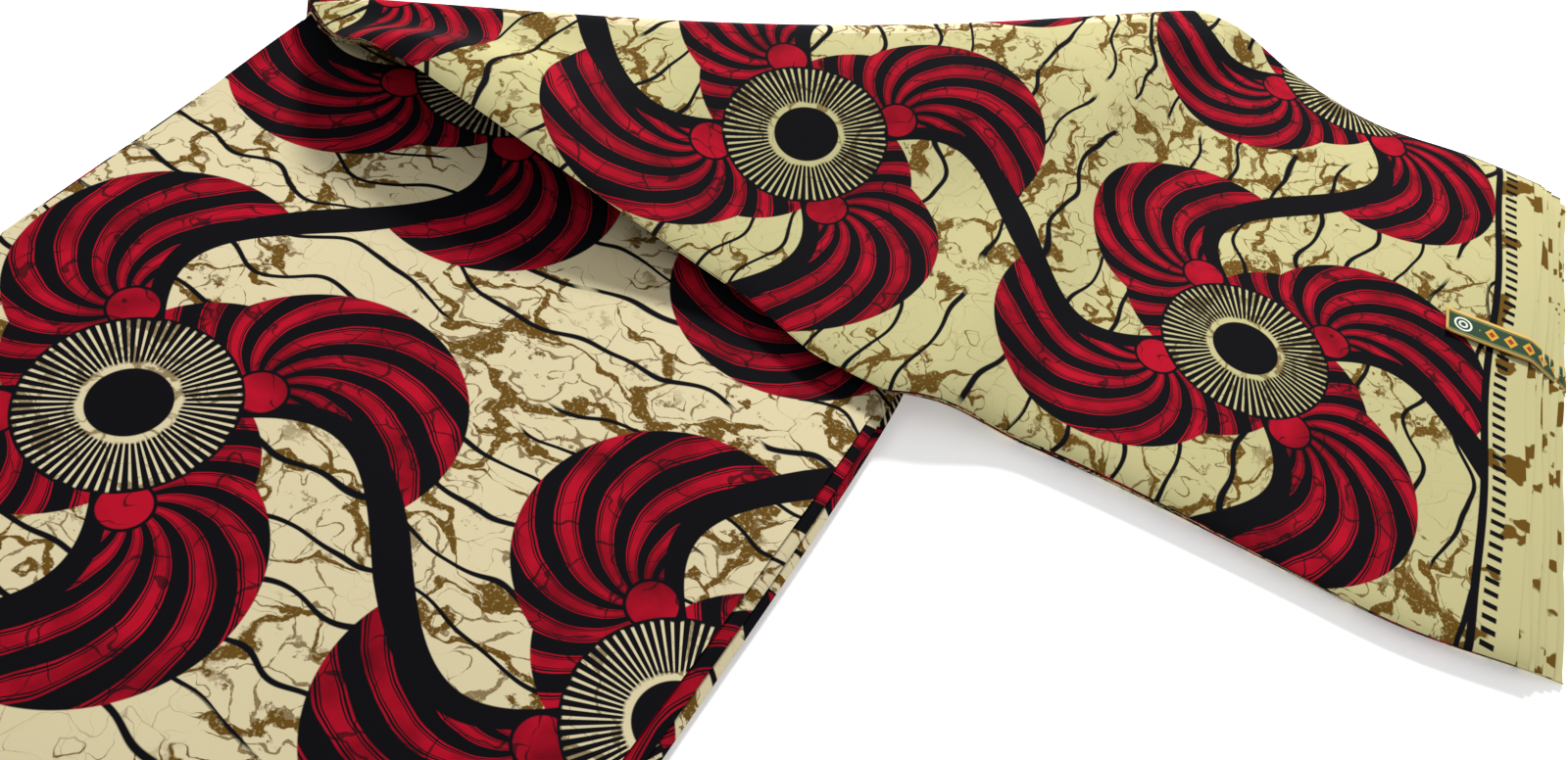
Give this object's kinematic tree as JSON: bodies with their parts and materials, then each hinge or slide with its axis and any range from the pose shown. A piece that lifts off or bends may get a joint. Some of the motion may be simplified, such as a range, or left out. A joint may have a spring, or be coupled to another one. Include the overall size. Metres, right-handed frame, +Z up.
{
  "type": "folded fabric length",
  "caption": "Folded length of printed cotton: zig-zag leaves in a flat strip, turned once over a soft diagonal fold into an L, with a narrow paper label band round the selvedges.",
  "frame": {"origin": "middle of the whole piece's footprint, on the table it lies on", "axes": "+X along the upper arm towards its selvedges, +Y across the upper arm and along the lower arm away from its free end, +Z up"},
  "size_m": [0.7418, 0.902, 0.0478],
  "materials": {
    "lower_cloth": "printed plain-weave cotton, crisp and slightly glazed, red and black lobes on cream with brown crackle",
    "fold_cloth": "the same printed cotton going round the soft diagonal fold",
    "upper_cloth": "the same printed cotton, with a plain cream selvedge and a thin black line beside it",
    "label_paper": "smooth printed paper, dark green with a gold border and plain ornament"
  },
  "bodies": {
    "lower_arm": {"lower_leaf_01": "lower_cloth", "lower_leaf_02": "lower_cloth", "lower_leaf_03": "lower_cloth", "lower_leaf_04": "lower_cloth", "lower_leaf_05": "lower_cloth", "lower_leaf_06": "lower_cloth", "lower_leaf_07": "lower_cloth", "lower_leaf_08": "lower_cloth", "lower_leaf_09": "lower_cloth", "lower_leaf_10": "lower_cloth", "lower_leaf_11": "lower_cloth", "lower_leaf_12": "lower_cloth", "lower_leaf_13": "lower_cloth", "lower_leaf_14": "lower_cloth", "fold_turn_01": "fold_cloth", "fold_turn_02": "fold_cloth", "fold_turn_03": "fold_cloth", "fold_turn_04": "fold_cloth", "fold_turn_05": "fold_cloth", "fold_turn_06": "fold_cloth", "fold_turn_07": "fold_cloth", "fold_turn_08": "fold_cloth", "fold_turn_09": "fold_cloth", "fold_turn_10": "fold_cloth", "fold_turn_11": "fold_cloth", "fold_turn_12": "fold_cloth", "fold_turn_13": "fold_cloth", "fold_turn_14": "fold_cloth"},
    "upper_arm": {"upper_leaf_01": "upper_cloth", "upper_leaf_02": "upper_cloth", "upper_leaf_03": "upper_cloth", "upper_leaf_04": "upper_cloth", "upper_leaf_05": "upper_cloth", "upper_leaf_06": "upper_cloth", "upper_leaf_07": "upper_cloth", "upper_leaf_08": "upper_cloth", "upper_leaf_09": "upper_cloth", "upper_leaf_10": "upper_cloth", "upper_leaf_11": "upper_cloth", "upper_leaf_12": "upper_cloth", "upper_leaf_13": "upper_cloth", "upper_leaf_14": "upper_cloth", "label_band": "label_paper"}
  },
  "joints": [
    {"name": "upper_arm_opens", "type": "hinge", "parent": "lower_arm", "child": "upper_arm", "pos_m": [-0.12901, 0.24664, 0.0239], "axis": [-0.7683, -0.6401, 0], "range_deg": [0, 180]}
  ]
}
